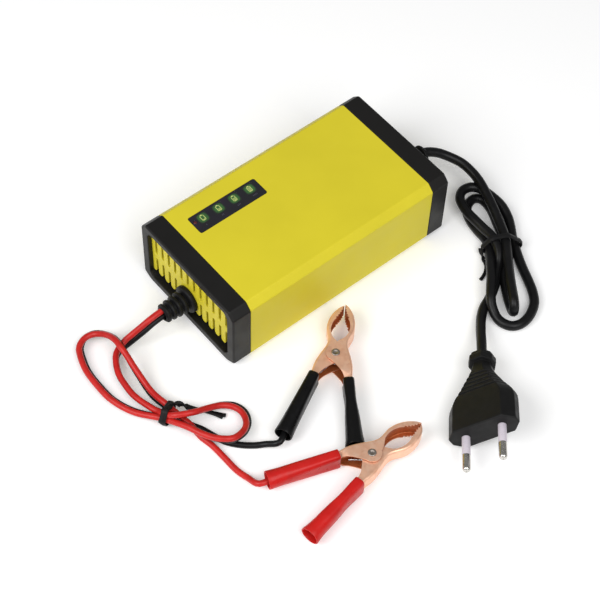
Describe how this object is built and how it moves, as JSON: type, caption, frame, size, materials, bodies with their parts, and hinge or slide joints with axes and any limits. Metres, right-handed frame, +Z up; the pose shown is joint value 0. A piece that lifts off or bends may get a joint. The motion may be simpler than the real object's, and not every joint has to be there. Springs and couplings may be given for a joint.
{
  "type": "car battery charger",
  "caption": "Compact 12 V car battery charger: sleeve case with end bezels and grilles, charge display, mains cord with Euro plug, output lead with sprung clamps.",
  "frame": {"origin": "middle of the case's underside, on the surface that it rests on", "axes": "+X across the case towards the clamps, +Y along the case from the output end to the mains end, +Z up"},
  "size_m": [0.1981, 0.2281, 0.0418],
  "materials": {
    "case_yellow": "moulded, fine satin",
    "case_black": "moulded, satin",
    "display_dark": "polished, tinted",
    "display_green": "translucent green",
    "lamp_red": "translucent red, unlit",
    "circuit_board": "solder mask",
    "steel": "zinc plated",
    "ferrite": "sintered, dull",
    "winding": "taped winding",
    "aluminium": "mill finish",
    "resin_black": "moulded resin",
    "capacitor": "shrink sleeve",
    "copper_wire": "enamelled wire",
    "fuse_ceramic": "glazed",
    "rubber_black": "soft moulded",
    "wire_red": "satin insulation",
    "plug_black": "moulded, satin",
    "pin_metal": "nickel plated",
    "pin_white": "insulating sleeve",
    "clamp_copper": "copper plated",
    "grip_black": "dipped vinyl",
    "grip_red": "dipped vinyl"
  },
  "bodies": {
    "charger": {"case_sleeve": "case_yellow", "front_grille": "case_yellow", "rear_grille": "case_yellow", "front_bezel": "case_black", "rear_bezel": "case_black", "display_lens": "display_dark", "led_window_1": "display_green", "led_window_2": "display_green", "led_window_3": "display_green", "led_window_4": "display_green", "charge_lamp": "lamp_red", "display_board": "circuit_board", "main_board": "circuit_board", "case_screw_1": "steel", "case_screw_2": "steel", "case_screw_3": "steel", "case_screw_4": "steel", "board_screw_1": "steel", "board_screw_2": "steel", "board_screw_3": "steel", "board_screw_4": "steel", "black_clamp_rivet": "steel", "red_clamp_rivet": "steel", "black_clamp_spring": "steel", "red_clamp_spring": "steel", "transformer_core": "ferrite", "transformer_winding": "winding", "heatsink": "aluminium", "switching_transistor": "resin_black", "output_diode": "resin_black", "bridge_rectifier": "resin_black", "control_chip": "resin_black", "mains_capacitor": "capacitor", "output_capacitor_1": "capacitor", "output_capacitor_2": "capacitor", "filter_choke": "copper_wire", "fuse": "fuse_ceramic", "output_strain_relief": "rubber_black", "mains_strain_relief": "rubber_black", "mains_cord": "rubber_black", "output_wire_black": "rubber_black", "mains_tie": "rubber_black", "output_tie": "rubber_black", "output_wire_red": "wire_red", "plug_body": "plug_black", "plug_pin_1": "pin_metal", "plug_pin_2": "pin_metal", "pin_sleeve_1": "pin_white", "pin_sleeve_2": "pin_white", "black_clamp_fixed_half": "clamp_copper", "red_clamp_fixed_half": "clamp_copper", "black_clamp_fixed_sleeve": "grip_black", "red_clamp_fixed_sleeve": "grip_red"},
    "black_clamp_jaw": {"black_clamp_moving_half": "clamp_copper", "black_clamp_moving_sleeve": "grip_black"},
    "red_clamp_jaw": {"red_clamp_moving_half": "clamp_copper", "red_clamp_moving_sleeve": "grip_red"}
  },
  "joints": [
    {"name": "black_clamp_hinge", "type": "hinge", "parent": "charger", "child": "black_clamp_jaw", "pos_m": [0.065, -0.0285, 0.0061], "axis": [0, 0, -1], "range_deg": [0, 28], "stiffness_Nm_per_rad": 0.6, "springref_deg": -28.65, "deforming": ["black_clamp_spring"]},
    {"name": "red_clamp_hinge", "type": "hinge", "parent": "charger", "child": "red_clamp_jaw", "pos_m": [0.1174, -0.0508, 0.0061], "axis": [0, 0, -1], "range_deg": [0, 28], "stiffness_Nm_per_rad": 0.6, "springref_deg": -28.65, "deforming": ["red_clamp_spring"]}
  ]
}
